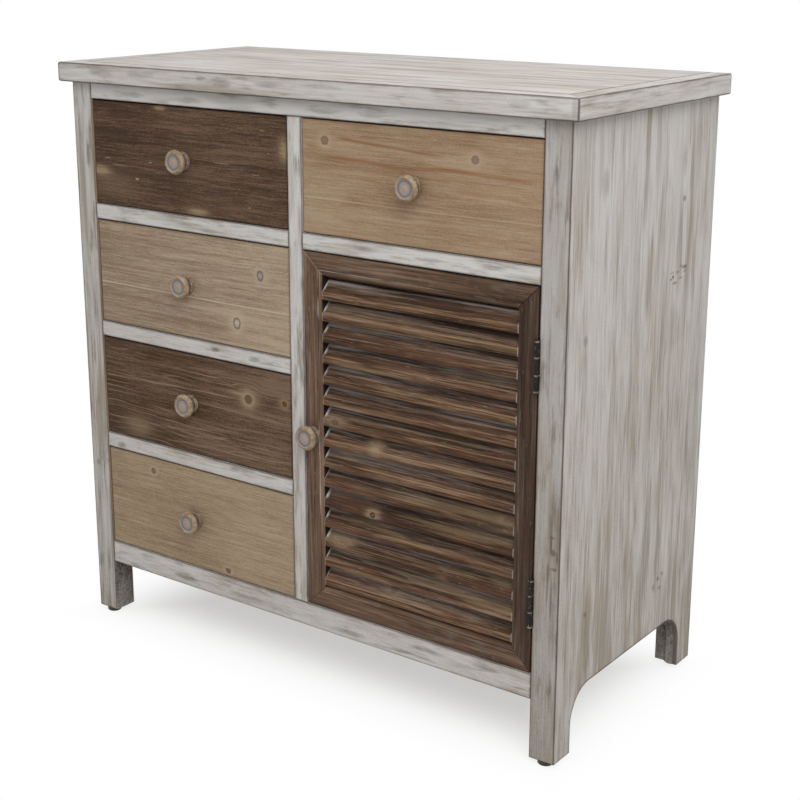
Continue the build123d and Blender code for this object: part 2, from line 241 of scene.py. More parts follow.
def whitewash(
    node, run, seed, bare, scuffs,
    fine=1.3, drawn=1.0, shade=1.0, line=NARROW_GLAZE, inner=0, arch=None, pits=(),
):
    """Thin white paint on one board, its brush marks drawn out so many times as long as on a rail.

    Bare and scuffs are how much the paint is worn and smudged, and fine is how close its streaks lie. Shade
    darkens the paint, and line is the width of the dark glaze along the edges. Inner is the way along X that
    the unpainted face looks, 1 or -1. An arch is given by its middle, half length, top and corner radius.
    Pits are the marks of knots, cracks and glaze, each a spot and how dark it is."""
    low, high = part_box(node)
    material, shader, place = new_finish(f"whitewash_{node}")
    x, y, z = place.parts()
    drifts = place.fibres(run, 22, 6, seed, detail=2)
    streaks = place.fibres(run, 52 * fine, 6.5 * fine / drawn, seed + 5, detail=1, rough=0.4)
    tints = place.fibres(run, 46 * fine, 7 * fine / drawn, seed + 9, detail=1, rough=0.4)
    brush = place.fibres(run, 330, 26 / drawn, seed + 11, rough=0.65)
    grit = place.fibres(run, 1000, 420, seed + 15, detail=2)
    rubs = place.fibres(run, 130, 30, seed + 17, detail=4, rough=0.7)
    smudges = place.fibres(run, 62, 16, seed + 31)
    # How thin the paint is: its wear, plus painted shade that makes it thinner and darker lower down and
    # lighter higher up.
    wear_and_low_shade = bare + (0.5 - z) * 0.4
    thin = wear_and_low_shade + brush.swing(1.3) + grit.swing(0.8) + drifts.swing(0.9)
    colour = thin.between(0.0, 0.5).mix(shaded(PAINT_COOL, shade), shaded(PAINT_WARM, shade))
    colour = thin.between(0.4, 1.1).mix(colour, THIN_TAUPE)
    colour = ((tints + brush.swing(0.3)).between(0.52, 0.72) * 0.5).mix(colour, THIN_GREEN)
    streaked = (streaks + brush.swing(0.45) + (wear_and_low_shade - 0.5) * 0.3).between(0.47, 0.76)
    colour = (streaked * 0.75).mix(colour, drifts.between(0.42, 0.58).mix(THIN_TAUPE, THIN_TAN))
    colour = ((smudges + brush.swing(0.4)).between(0.52, 0.74) * scuffs).mix(colour, SMUDGE_BROWN)
    across = y if arch else x
    for *spot, amount in pits:
        ragged = min(1, spot[2] / RAGGED_PIT)
        oval = across.oval(z, spot, (rubs.swing(4) + brush.swing(2) + grit.swing()) * ragged)
        broken = (brush * 0.6 + grit * 0.4).between(0.38, 0.56) * 0.4 + 0.6
        colour = (oval.short_of(-0.3, 1.6) * broken * amount).mix(colour, PIT_BROWN)
    edge = edge_distance(place, low, high)
    if arch:
        middle, half, top, corner = arch
        beyond = (abs(y - middle) - (half - corner)).at_least(0)
        above = (z - (top - corner)).at_least(0)
        edge = edge.at_most((beyond ** 2 + above ** 2) ** 0.5 - corner - ARCH_FACET)
    colour = ((edge + rubs.swing(0.006)).short_of(*RUBBED_EDGE) * 0.25).mix(colour, BARE_BROWN)
    colour = ((edge + rubs.swing(0.0016)).short_of(line * 0.4, line) * 0.7).mix(colour, GLAZE_DARK)
    if inner:
        facing = place.node("ShaderNodeNewGeometry", out="Normal").parts()[0]
        hidden = (facing * inner).between(*SQUARE_ON)
        if arch:
            unpainted = max(-low.x, high.x) - PAINTED_RIM
            rim = (x * -inner - unpainted + rubs.swing(0.003)).between(0.0, 0.0014)
            hidden = hidden.at_least(abs(facing).short_of(*SQUARE_ON) * (1 - rim))
        bare_wood = (brush * 0.6 + tints * 0.4).between(0.35, 0.65).mix(BARE_LIGHT, BARE_DEEP)
        unseen = z.between(FLOOR_LOW, FLOOR_HIGH).mix(dabbed(place, z, seed + 29), bare_wood)
        colour = hidden.mix(colour, unseen)
    lay_on(shader, colour, 0.66 + brush.swing(0.3), brush * 0.7 + rubs * 0.4 + grit * 0.3, 0.0006, gloss=0.2)
    return material


LEFT_POST_PITS = ((-0.381, 0.235, 0.004, 0.005, 0.7), (-0.37, 0.47, 0.004, 0.03, 0.3))
RIGHT_POST_PITS = (
    (0.3835, 0.2805, 0.0042, 0.005, 1.0), (0.3795, 0.29, 0.0015, 0.013, 0.9),
    (0.3815, 0.299, 0.0042, 0.002, 0.9), (0.3885, 0.275, 0.0017, 0.009, 0.8),
    (0.384, 0.26, 0.0055, 0.0022, 0.9), (0.3775, 0.255, 0.0034, 0.013, 0.5),
    (0.385, 0.305, 0.008, 0.055, 0.4), (0.384, 0.19, 0.006, 0.05, 0.35),
    (0.3815, 0.225, 0.0016, 0.03, 0.75), (0.376, 0.235, 0.0014, 0.025, 0.6),
    (0.381, 0.335, 0.004, 0.035, 0.3), (0.372, 0.72, 0.004, 0.012, 0.45),
    (0.37, 0.52, 0.003, 0.04, 0.3), (0.384, 0.1, 0.003, 0.03, 0.35),
)
for node, seed, bare, shade, inner, pits in (
    ("leg_front_left", 3.1, 0.5, 0.94, 1, LEFT_POST_PITS),
    ("leg_front_right", 8.3, 0.42, 0.77, -1, RIGHT_POST_PITS),
):
    paint = whitewash(
        node, RUN_Z, seed, bare, scuffs=0.8, fine=1.5, drawn=1.8, shade=shade,
        line=WIDE_GLAZE, inner=inner, pits=pits,
    )
    dress(node, paint, POST_EASE)

# Back legs. Square pine legs inside the rear corners of the sides, rebated for the back. They show behind the
# arches, dark and dabbed with grey like the insides of the front legs, and are bare inside the cabinet.
for node, seed in (("leg_back_left", 2.2), ("leg_back_right", 6.4)):
    material, shader, place = new_finish(f"dabbed_{node}")
    hairs = place.fibres(RUN_Z, 500, 30, seed + 4, rough=0.7)
    z = place.parts()[2]
    bare_wood = hairs.between(0.35, 0.65).mix(BARE_LIGHT, BARE_DEEP)
    colour = z.between(FLOOR_LOW, FLOOR_HIGH).mix(dabbed(place, z, seed), bare_wood)
    lay_on(shader, colour, 0.7 + hairs.swing(0.3), hairs, 0.0006)
    dress(node, material, POST_EASE)

# Side panels. Wide glued pine boards with an arch sawn between the feet, brushed upright with the same white
# paint. Two large knots and some small ones show through it as ragged dark marks.
ARCH_FOOT = 0.038
ARCH_TOP = 0.087
ARCH_RADIUS = 0.043
BOARD_EASE = 0.0008
SIDE_PITS = (
    (0.105, 0.6595, 0.0045, 0.004, 0.8), (-0.1325, 0.5275, 0.005, 0.007, 0.55),
    (-0.0975, 0.701, 0.008, 0.02, 0.4), (-0.11, 0.181, 0.004, 0.004, 0.7),
    (0.102, 0.705, 0.006, 0.02, 0.35), (-0.13, 0.48, 0.006, 0.05, 0.3),
    (-0.105, 0.15, 0.007, 0.06, 0.35), (-0.015, 0.55, 0.01, 0.13, 0.22),
    (0.165, 0.42, 0.012, 0.12, 0.2), (0.0845, 0.564, 0.0032, 0.0026, 1.0),
    (0.079, 0.5615, 0.0036, 0.0016, 0.95), (0.09, 0.5555, 0.006, 0.002, 0.8),
    (0.116, 0.572, 0.007, 0.0026, 0.95), (0.106, 0.5745, 0.006, 0.0016, 0.65),
    (0.105, 0.5595, 0.007, 0.0016, 0.6), (0.096, 0.5685, 0.005, 0.0026, 0.55),
    (0.081, 0.5695, 0.006, 0.0016, 0.5), (0.117, 0.5665, 0.005, 0.002, 0.6),
    (0.0715, 0.1515, 0.0032, 0.006, 0.75), (0.084, 0.16, 0.0036, 0.0036, 0.8),
    (0.0885, 0.1455, 0.0055, 0.003, 0.9), (0.0955, 0.1635, 0.0036, 0.003, 0.65),
    (0.15, 0.36, 0.006, 0.1, 0.3), (0.09, 0.5, 0.014, 0.03, 0.2),
)
for node, seed, inner in (("side_panel_left", 21.7, 1), ("side_panel_right", 14.9, -1)):
    low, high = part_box(node)
    arch = ((low.y + high.y) / 2, (high.y - low.y) / 2 - ARCH_FOOT, ARCH_TOP, ARCH_RADIUS)
    paint = whitewash(
        node, RUN_Z, seed, bare=0.47, scuffs=0.2, fine=1.2, drawn=1.8,
        line=WIDE_GLAZE, inner=inner, arch=arch, pits=SIDE_PITS,
    )
    dress(node, paint, BOARD_EASE)

# Rails and stile. Slim pine rails fitted between the posts and a stile up the middle, whiter than the posts,
# with brown rubbed through in places.
RAIL_PITS = (
    (-0.278, 0.769, 0.024, 0.004, 0.45), (-0.18, 0.768, 0.03, 0.004, 0.4), (0.045, 0.769, 0.03, 0.004, 0.45),
    (0.12, 0.768, 0.02, 0.004, 0.4), (0.22, 0.765, 0.05, 0.003, 0.35), (-0.212, 0.097, 0.022, 0.004, 0.55),
    (-0.097, 0.097, 0.03, 0.004, 0.5), (0.077, 0.094, 0.03, 0.004, 0.55), (0.205, 0.105, 0.026, 0.004, 0.5),
    (0.295, 0.107, 0.02, 0.004, 0.45), (0.111, 0.6076, 0.02, 0.004, 0.4), (0.205, 0.6056, 0.02, 0.003, 0.5),
    (-0.143, 0.441, 0.008, 0.0035, 0.7), (-0.073, 0.439, 0.009, 0.0035, 0.65),
    (-0.331, 0.2695, 0.009, 0.005, 0.65), (-0.114, 0.28, 0.012, 0.004, 0.5),
)
for node, seed, bare in (
    # The top rail gets the whitest paint, partly painted light against the shade under the top's overhang.
    ("top_rail", 31.3, 0.1),
    ("bottom_rail", 35.9, 0.2),
    ("drawer_rail_upper", 41.2, 0.22),
    ("drawer_rail_middle", 44.8, 0.24),
    ("drawer_rail_lower", 47.1, 0.24),
    ("door_head_rail", 52.6, 0.24),
):
    low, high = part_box(node)
    rubbed = [pit for pit in RAIL_PITS if low.z < pit[1] < high.z]
    dress(node, whitewash(node, RUN_X, seed, bare, scuffs=0.5, pits=rubbed), BOARD_EASE)
dress("centre_stile", whitewash("centre_stile", RUN_Z, seed=57.4, bare=0.26, scuffs=0.65), BOARD_EASE)

# Inner boards. Partition, bottom, dust panel and back, of bare pine and thin board, nailed and glued inside
# the frame where only an open door or drawer shows them.
PINE_LIGHT = (0.42, 0.31, 0.2, 1)
PINE_DARK = (0.27, 0.175, 0.1, 1)
INNER_LIGHT = (0.36, 0.27, 0.18, 1)
PITH_AWAY = Vector((0.09, 0.11, 0.13))
PINE_RINGS = 0.0062


def growth_rings(place, run, pith, spacing, seed):
    """Saw-toothed growth rings round a pith that lies along the grain, wavering as a real trunk does."""
    waver = place.fibres(run, 9, 1.6, seed, detail=2)
    away = [part - pith[axis] for axis, part in enumerate(place.parts()) if axis != run]
    radius = (away[0] ** 2 + away[1] ** 2) ** 0.5 + waver.swing(0.02)
    return (radius / spacing).maths("FRACT")


def bare_pine(node, run, seed, light=PINE_LIGHT, dark=PINE_DARK):
    """Planed pine with no finish."""
    low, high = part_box(node)
    material, shader, place = new_finish(f"bare_pine_{node}")
    rings = growth_rings(place, run, (low + high) / 2 - PITH_AWAY, PINE_RINGS, seed)
    hairs = place.fibres(run, 600, 12, seed + 3, rough=0.7)
    drifts = place.fibres(run, 26, 2, seed + 9)
    colour = (rings ** 3 * 0.7 + hairs.swing(0.5) + drifts.swing(1.1)).mix(light, dark)
    lay_on(shader, colour, 0.68 + hairs.swing(0.3), hairs + rings * 0.3, 0.0004, gloss=0.3)
    return material


for node, run, seed in (
    ("centre_partition", RUN_Z, 1.5),
    ("bottom_board", RUN_X, 4.5),
    ("dust_panel", RUN_X, 7.5),
    ("back_panel", RUN_Z, 10.5),
):
    dress(node, bare_pine(node, run, seed, INNER_LIGHT, BARE_DEEP))

# Runners, guides and stops. Strips of sawn pine glued to the inside of the frame, and small blocks on the
# rails that the backs of the drawer fronts meet.
dress("drawer_runners", bare_pine("drawer_runners", RUN_Y, seed=13.5))
dress("drawer_stops", bare_pine("drawer_stops", RUN_X, seed=16.5))

# Top. A field of glued boards with a border of three flat strips, mitred at the front corners. It is painted
# like the sides, along the boards, and the joints of the border stay as thin brown lines.
FIELD_EASE = 0.0005
BORDER_EASE = 0.0006
FRONT_GLAZE = 0.0026
END_GLAZE = 0.0024
BORDER_PITS = (
    (-0.327, 0.797, 0.02, 0.006, 0.45), (-0.25, 0.7975, 0.022, 0.0055, 0.45),
    (-0.141, 0.798, 0.01, 0.004, 0.5), (-0.109, 0.7955, 0.018, 0.006, 0.5),
    (-0.027, 0.797, 0.02, 0.004, 0.4), (0.055, 0.799, 0.03, 0.003, 0.45),
    (0.33, 0.796, 0.015, 0.006, 0.3), (0.4, 0.795, 0.004, 0.01, 0.4),
)
field_paint = whitewash("top_panel", RUN_X, seed=61.2, bare=0.56, scuffs=0.2, fine=1.2, drawn=2.0)
dress("top_panel", field_paint, FIELD_EASE)
for node, run, seed, bare, scuffs, line, pits in (
    ("top_border_front", RUN_X, 64.7, 0.44, 0.5, FRONT_GLAZE, BORDER_PITS),
    ("top_border_left", RUN_Y, 67.3, 0.64, 0.4, END_GLAZE, ()),
    ("top_border_right", RUN_Y, 71.8, 0.48, 0.4, END_GLAZE, ()),
):
    paint = whitewash(node, run, seed, bare, scuffs, fine=1.1, drawn=1.5, line=line, pits=pits)
    dress(node, paint, BORDER_EASE)

# Foot glides. Round black plastic buttons, moulded with a fine grain and nailed under the four legs, so that
# the cabinet slides on them. They are scuffed grey.
PLASTIC_BLACK = (0.018, 0.017, 0.016, 1)
PLASTIC_SCUFF = (0.08, 0.078, 0.075, 1)


def moulded_black(name):
    """Black plastic with a fine mould grain and grey scuffs."""
    material, shader, place = new_finish(name)
    grain = place.fibres(RUN_Z, 900, 900, 2.5, detail=2)
    scuffs = place.fibres(RUN_Z, 160, 160, 5.5).between(0.55, 0.7)
    colour = (scuffs * 0.5).mix(PLASTIC_BLACK, PLASTIC_SCUFF)
    lay_on(shader, colour, 0.45 + scuffs * 0.25, grain, 0.0001)
    return material


dress("foot_glides", moulded_black("glide_plastic"))

# Drawer boxes. Pine sides and back glued up, with a thin bottom let into grooves. All of it is left bare, and
# the edges that a hand meets are sanded.
BOX_EASE = 0.0006
for number, drawer in enumerate(("first", "second", "third", "fourth", "wide")):
    for piece, run, seed, ease in (
        ("sides", RUN_Y, 20.5, BOX_EASE),
        ("back", RUN_X, 30.5, BOX_EASE),
        ("bottom", RUN_X, 40.5, 0.0),
    ):
        node = f"drawer_{drawer}_{piece}"
        dress(node, bare_pine(node, run, seed + number), ease)

# Drawer fronts. Flat-sawn fir boards, some of two planks edge to edge, stained dark brown, tan or honey and
# wiped, so the growth rings show as darker or paler lines. Knots, pale pitch patches and scratches are where
# each board has them.
RESIN_PALE = (0.42, 0.31, 0.185, 1)
SCRATCH_PALE = (0.5, 0.42, 0.32, 1)
SEAM_PALE = (0.58, 0.49, 0.36, 1)
SEAM_LIGHT = (0.0, 0.0006, 0.0014, 0.0026)
SEAM_DARK = (-0.0018, -0.0009, -0.0004, 0.0002)
FRONT_EASE = 0.0004


def stained_front(
    drawer, tones, contrast, spacing, seed, lively,
    lean=0.0, knots=(), patches=(), scratches=(), veins=(), seam=None, gap=0.6,
):
    """One drawer front. Its tones are the deepest stain, the middle, the palest and the growth ring lines.

    Rings lie so far apart and stand out by contrast. The grain is more or less lively, and leans to the pale
    tone towards the right end, by so much in a metre. Patches and scratches are spots, each with how strong
    it is. A knot is a spot, the colours of its heart and ring, and the strength and colour of the wood round
    it. A vein is its start and end across, its height at each, its thickness and how strong it is. A seam is
    the height of a joint between two planks, and gap is how strong it shows."""
    node = f"drawer_{drawer}_front"
    low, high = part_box(node)
    deep, middle, pale, line = tones
    material, shader, place = new_finish(f"stain_{drawer}")
    x, y, z = place.parts()
    hairs = place.fibres(RUN_X, 1000, 42, seed, rough=0.7)
    fibre = place.fibres(RUN_X, 330, 9, seed + 3, detail=4, rough=0.65)
    bands = place.fibres(RUN_X, 60, 3, seed + 6)
    cloud = place.fibres(RUN_X, 14, 5, seed + 9, detail=2)
    grit = place.fibres(RUN_X, 1300, 600, seed + 12, detail=2)
    height = z + cloud.swing(0.04) + bands.swing(0.008)
    halos = []
    for knot in knots:
        oval = x.oval(z, knot[:4])
        height = height - (z - knot[1]) * (oval * -0.14).maths("EXPONENT") * 0.85
        halos.append((oval + fibre.swing(4)).short_of(0.5, 7.0))
    rings = (height / spacing).maths("FRACT")
    shown = place.fibres(RUN_X, 36, 3, seed + 15).between(0.42, 0.62)
    lines = rings.band(0.72, 0.92, 0.94, 1.0) * shown * fibre.between(0.3, 0.5)
    grain = hairs.swing(1.5) + fibre.swing(1.4) + bands.swing(0.8) + grit.swing(1.4)
    tone = 0.5 + grain * lively + cloud.swing() + (x - (low.x + high.x) / 2) * lean
    colour = tone.between(0.05, 0.55).mix(deep, middle)
    colour = tone.between(0.48, 1.0).mix(colour, pale)
    colour = (lines * contrast).mix(colour, line)
    for start, end, first, last, thick, strong in veins:
        path = first + (x - start) / (end - start) * (last - first)
        path = path + cloud.swing(0.016) + bands.swing(0.006)
        vein = abs(z - path).short_of(thick * 0.2, thick) * fibre.between(0.3, 0.6)
        span = x.band(start - 0.008, start + 0.012, end - 0.03, end + 0.008)
        colour = (vein * span * strong).mix(colour, line)
    for *spot, strong in patches:
        oval = x.oval(z, spot, fibre.swing(4) + hairs.swing(2) + cloud.swing(2))
        colour = ((oval * -1.1).maths("EXPONENT").at_most(1) * strong).mix(colour, RESIN_PALE)
    for *spot, strong in scratches:
        oval = x.oval(z, spot, hairs.swing(2))
        colour = (oval.short_of(0.1, 1.0) * strong).mix(colour, SCRATCH_PALE)
    for halo in halos:
        colour = (halo * 0.4).mix(colour, pale)
    for *spot, heart, ring, strong, around in knots:
        oval = x.oval(z, spot, fibre.swing(1.2) + grit.swing(0.8))
        colour = ((oval * -0.32).maths("EXPONENT").at_most(1) * strong).mix(colour, around)
        colour = (oval.short_of(0.7, 1.35) * 0.8).mix(colour, ring)
        colour = (oval.short_of(0.2, 0.6) * 0.85).mix(colour, heart)
    if seam:
        joint = z - seam - cloud.swing(0.003)
        colour = (joint.band(*SEAM_LIGHT) * gap).mix(colour, SEAM_PALE)
        colour = (joint.band(*SEAM_DARK) * gap * 0.7).mix(colour, deep)
    edge = edge_distance(place, low, high) + fibre.swing(0.004)
    colour = (edge.short_of(0.0006, 0.0028) * 0.55).mix(colour, deep)
    raised = hairs * 0.8 + lines * 0.5 + grit * 0.3
    lay_on(shader, colour, 0.64 + hairs.swing(0.35), raised, 0.0005, gloss=0.12)
    dress(node, material, FRONT_EASE)


stained_front(
    "first",
    tones=(
        (0.048, 0.027, 0.016, 1), (0.094, 0.054, 0.034, 1), (0.165, 0.105, 0.068, 1), (0.05, 0.03, 0.019, 1),
    ),
    contrast=0.25, spacing=0.012, seed=1.3, lively=1.4,
    patches=(
        (-0.229, 0.757, 0.01, 0.005, 0.6), (-0.016, 0.717, 0.01, 0.014, 0.65),
        (-0.347, 0.663, 0.018, 0.006, 0.65), (-0.32, 0.646, 0.04, 0.016, 0.16),
        (-0.166, 0.623, 0.018, 0.0055, 0.65), (-0.276, 0.657, 0.0025, 0.0014, 0.9),
    ),
    scratches=(
        (-0.25, 0.681, 0.004, 0.0007, 0.6), (-0.121, 0.691, 0.018, 0.0007, 0.45),
        (-0.331, 0.681, 0.008, 0.0007, 0.45), (-0.066, 0.681, 0.01, 0.0007, 0.35),
        (-0.31, 0.673, 0.015, 0.0007, 0.35), (-0.043, 0.71, 0.0014, 0.001, 0.6),
        (-0.076, 0.638, 0.003, 0.0008, 0.5), (-0.052, 0.738, 0.004, 0.0008, 0.35),
    ),
    veins=((-0.355, -0.012, 0.665, 0.662, 0.004, 0.6), (-0.355, -0.1, 0.645, 0.635, 0.003, 0.5)),
)
stained_front(
    "second",
    tones=(
        (0.235, 0.163, 0.106, 1), (0.336, 0.253, 0.175, 1), (0.455, 0.362, 0.26, 1), (0.24, 0.165, 0.108, 1),
    ),
    contrast=0.35, spacing=0.011, seed=5.9, lively=1.2, lean=1.1, seam=0.506,
    knots=(
        (
            -0.0608, 0.5515, 0.0058, 0.0072,
            (0.36, 0.34, 0.33, 1), (0.1, 0.088, 0.08, 1), 0.3, (0.44, 0.36, 0.27, 1),
        ),
        (
            -0.103, 0.483, 0.0065, 0.008,
            (0.52, 0.45, 0.38, 1), (0.16, 0.11, 0.075, 1), 0.5, (0.5, 0.42, 0.31, 1),
        ),
    ),
    patches=(
        (-0.0746, 0.487, 0.0025, 0.002, 0.8), (-0.0746, 0.466, 0.0025, 0.002, 0.8),
        (-0.103, 0.483, 0.02, 0.016, 0.25),
    ),
    veins=((-0.355, -0.2, 0.535, 0.533, 0.003, 0.3), (-0.2, -0.012, 0.52, 0.524, 0.003, 0.3)),
)
stained_front(
    "third",
    tones=(
        (0.052, 0.029, 0.017, 1), (0.112, 0.066, 0.04, 1), (0.19, 0.124, 0.08, 1), (0.3, 0.215, 0.14, 1),
    ),
    contrast=0.7, spacing=0.0078, seed=12.4, lively=1.4, lean=1.6,
    knots=(
        (
            -0.0865, 0.382, 0.007, 0.0065,
            (0.17, 0.088, 0.044, 1), (0.075, 0.04, 0.022, 1), 1.0, (0.42, 0.31, 0.19, 1),
        ),
        (
            -0.024, 0.387, 0.0042, 0.004,
            (0.11, 0.056, 0.03, 1), (0.065, 0.036, 0.02, 1), 0.8, (0.34, 0.22, 0.13, 1),
        ),
    ),
    patches=((-0.2965, 0.306, 0.026, 0.014, 0.35), (-0.105, 0.387, 0.02, 0.003, 0.6)),
    veins=(
        (-0.355, -0.11, 0.372, 0.38, 0.0016, 0.7), (-0.24, -0.012, 0.314, 0.318, 0.0013, 0.75),
        (-0.2, -0.012, 0.33, 0.333, 0.0012, 0.6), (-0.2, -0.012, 0.362, 0.36, 0.0013, 0.5),
        (-0.22, -0.012, 0.322, 0.326, 0.0011, 0.6), (-0.18, -0.012, 0.307, 0.312, 0.0012, 0.6),
        (-0.24, -0.012, 0.297, 0.301, 0.0012, 0.5),
    ),
)
stained_front(
    "fourth",
    tones=(
        (0.24, 0.168, 0.102, 1), (0.342, 0.252, 0.162, 1), (0.425, 0.33, 0.226, 1), (0.28, 0.185, 0.112, 1),
    ),
    contrast=0.25, spacing=0.011, seed=17.8, lively=1.1, lean=0.4,
    knots=(
        (
            -0.269, 0.2438, 0.0045, 0.0045,
            (0.22, 0.16, 0.11, 1), (0.1, 0.075, 0.055, 1), 0.35, (0.45, 0.35, 0.24, 1),
        ),
        (
            -0.1315, 0.1265, 0.005, 0.004,
            (0.22, 0.11, 0.07, 1), (0.14, 0.075, 0.048, 1), 0.4, (0.45, 0.33, 0.2, 1),
        ),
    ),
    scratches=(
        (-0.271, 0.21, 0.0008, 0.028, 0.35), (-0.041, 0.2276, 0.013, 0.0007, 0.45),
        (-0.276, 0.185, 0.01, 0.002, 0.2),
    ),
    veins=((-0.268, -0.183, 0.19, 0.19, 0.003, 0.5), (-0.355, -0.012, 0.176, 0.172, 0.003, 0.25)),
)
stained_front(
    "wide",
    tones=(
        (0.245, 0.155, 0.09, 1), (0.35, 0.238, 0.149, 1), (0.425, 0.318, 0.215, 1), (0.26, 0.125, 0.055, 1),
    ),
    contrast=0.2, spacing=0.02, seed=23.6, lively=0.9, lean=-0.3, seam=0.661, gap=0.3,
    knots=(
        (
            0.048, 0.7337, 0.0058, 0.0055,
            (0.26, 0.17, 0.125, 1), (0.15, 0.098, 0.072, 1), 0.6, (0.46, 0.32, 0.205, 1),
        ),
        (
            0.266, 0.728, 0.0055, 0.005,
            (0.27, 0.185, 0.14, 1), (0.17, 0.115, 0.085, 1), 0.5, (0.46, 0.33, 0.215, 1),
        ),
    ),
    patches=((0.014, 0.727, 0.011, 0.006, 0.35),),
    veins=(
        (0.069, 0.222, 0.738, 0.729, 0.0032, 0.9), (0.045, 0.35, 0.716, 0.709, 0.003, 0.85),
        (0.01, 0.045, 0.729, 0.722, 0.0034, 0.8), (0.09, 0.15, 0.694, 0.69, 0.003, 0.45),
        (0.24, 0.354, 0.69, 0.683, 0.004, 0.45), (0.12, 0.34, 0.703, 0.699, 0.0024, 0.5),
    ),
)

# Knobs. Six small knobs turned from branch wood, so the face shows rings round a reddish pith. The face is
# dished and washed grey, the rim is worn back to pale wood, and a neck joins it to a base of two thin rings.
# The neck and the groove between the base rings are painted dark as shade.
# The turning is given as radius and height from the board, in millimetres.
KNOB_TURNING = (
    (0.0, 0.2), (11.9, 0.2), (12.4, 0.7), (12.4, 1.9), (11.9, 2.4), (11.5, 2.6), (11.9, 2.9), (12.2, 3.4),
    (12.0, 4.3), (11.2, 4.9), (9.9, 5.6), (9.1, 6.8), (9.0, 8.2), (9.4, 9.8), (10.6, 11.2), (12.6, 12.2),
    (14.8, 12.7), (15.7, 13.3), (16.0, 14.2), (16.0, 16.2), (15.6, 17.1), (14.3, 19.2), (13.7, 19.8),
    (13.1, 20.0), (12.5, 19.8), (11.9, 19.2), (11.2, 18.8), (9.0, 18.6), (6.0, 18.5), (3.0, 18.5),
    (2.4, 18.7), (1.6, 18.95), (0.0, 19.0),
)
KNOB_SIDES = 72
MILLIMETRE = 0.001
KNOB_BROWN = (0.13, 0.085, 0.058, 1)
KNOB_TAN = (0.32, 0.245, 0.18, 1)
FACE_GREY = (0.36, 0.315, 0.285, 1)
FACE_DARK = (0.19, 0.16, 0.145, 1)
FACE_GROOVE = (0.11, 0.09, 0.08, 1)
PITH_PALE = (0.44, 0.33, 0.24, 1)
PITH_RED = (0.52, 0.19, 0.07, 1)
RIM_DARK = (0.24, 0.16, 0.095, 1)
RIM_PALE = (0.4, 0.295, 0.185, 1)
GROOVE_SHADE = (0.06, 0.038, 0.026, 1)
FACE_FROM = (17.2, 18.2)
FACE_EDGE = (11.4, 12.6)
FACE_GROOVE_AT = (7.2, 8.6, 9.6, 11.4)
RIM_FROM = (12.6, 13.8)
RIM_INSIDE = (11.6, 12.8)
BASE_GROOVE_AT = (2.2, 2.5, 2.7, 3.0)
NECK_AT = (4.6, 5.4, 11.4, 12.8)
BRANCH_RINGS = 1.9


def turned_mesh(name, outline, sides):
    """A closed turned form along -Y from radius and height points that start and end on the axis."""
    form = bmesh.new()
    rows = []
    for radius, height in outline:
        turns = sides if radius else 1
        row = []
        for turn in range(turns):
            angle = 2 * math.pi * turn / turns
            point = Vector((radius * math.cos(angle), -height, radius * math.sin(angle)))
            row.append(form.verts.new(point * MILLIMETRE))
        rows.append(row)
    for lower, upper in zip(rows, rows[1:]):
        for turn in range(sides):
            corners = [lower[turn % len(lower)], lower[(turn + 1) % len(lower)]]
            corners += [upper[(turn + 1) % len(upper)], upper[turn % len(upper)]]
            form.faces.new(list(dict.fromkeys(corners)))
    bmesh.ops.recalc_face_normals(form, faces=form.faces)
    mesh = bpy.data.meshes.new(name)
    form.to_mesh(mesh)
    form.free()
    mesh.shade_smooth()
    return mesh


def knob_finish(name, seed):
    """Rings on the dished face, pale worn rim, brown base, and painted shade on the neck and base groove, by
    radius and height.
    """
    material, shader, place = new_finish(name)
    x, y, z = place.parts()
    height = y / -MILLIMETRE
    hairs = place.fibres(RUN_Y, 700, 120, seed, rough=0.7)
    blots = place.fibres(RUN_Y, 170, 170, seed + 3)
    radius = (x ** 2 + z ** 2) ** 0.5 / MILLIMETRE + blots.swing(2.2)
    rings = (radius / BRANCH_RINGS).maths("FRACT")
    colour = (blots + hairs.swing(0.8)).between(0.3, 0.7).mix(KNOB_BROWN, KNOB_TAN)
    face = height.between(*FACE_FROM)
    grey = (rings * 0.5 + hairs.swing() + 0.1).mix(FACE_GREY, FACE_DARK)
    colour = (face * radius.short_of(*FACE_EDGE)).mix(colour, grey)
    colour = (face * radius.band(*FACE_GROOVE_AT) * 0.65).mix(colour, FACE_GROOVE)
    colour = (face * radius.short_of(3.0, 5.0) * 0.6).mix(colour, PITH_PALE)
    colour = (face * radius.short_of(0.8, 2.8) * 0.8).mix(colour, PITH_RED)
    rim = height.between(*RIM_FROM) * radius.between(*RIM_INSIDE)
    worn = (blots + hairs.swing(0.3)).between(0.35, 0.65)
    colour = rim.mix(colour, worn.mix(RIM_DARK, RIM_PALE))
    # Painted shade: the neck under the head and the groove between the base rings are darkened.
    shaded_grooves = height.band(*BASE_GROOVE_AT) + height.band(*NECK_AT)
    colour = (shaded_grooves * 0.8).mix(colour, GROOVE_SHADE)
    lay_on(shader, colour, 0.5 + hairs.swing(0.4), hairs + rings * 0.3, 0.0003, gloss=0.3)
    return material


for number, (node, body) in enumerate((
    ("drawer_first_knob", "drawer_first"),
    ("drawer_second_knob", "drawer_second"),
    ("drawer_third_knob", "drawer_third"),
    ("drawer_fourth_knob", "drawer_fourth"),
    ("drawer_wide_knob", "drawer_wide"),
    ("door_knob", "door"),
)):
    low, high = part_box(node)
    knob = bpy.data.objects.new(f"turned_{node}", turned_mesh(f"turned_{node}", KNOB_TURNING, KNOB_SIDES))
    knob.location = ((low.x + high.x) / 2, high.y, (low.z + high.z) / 2)
    knob.data.materials.append(knob_finish(f"turned_{node}", 3.7 * number + 1))
    bpy.context.scene.collection.objects.link(knob)
    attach(knob, body)
    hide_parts(node)

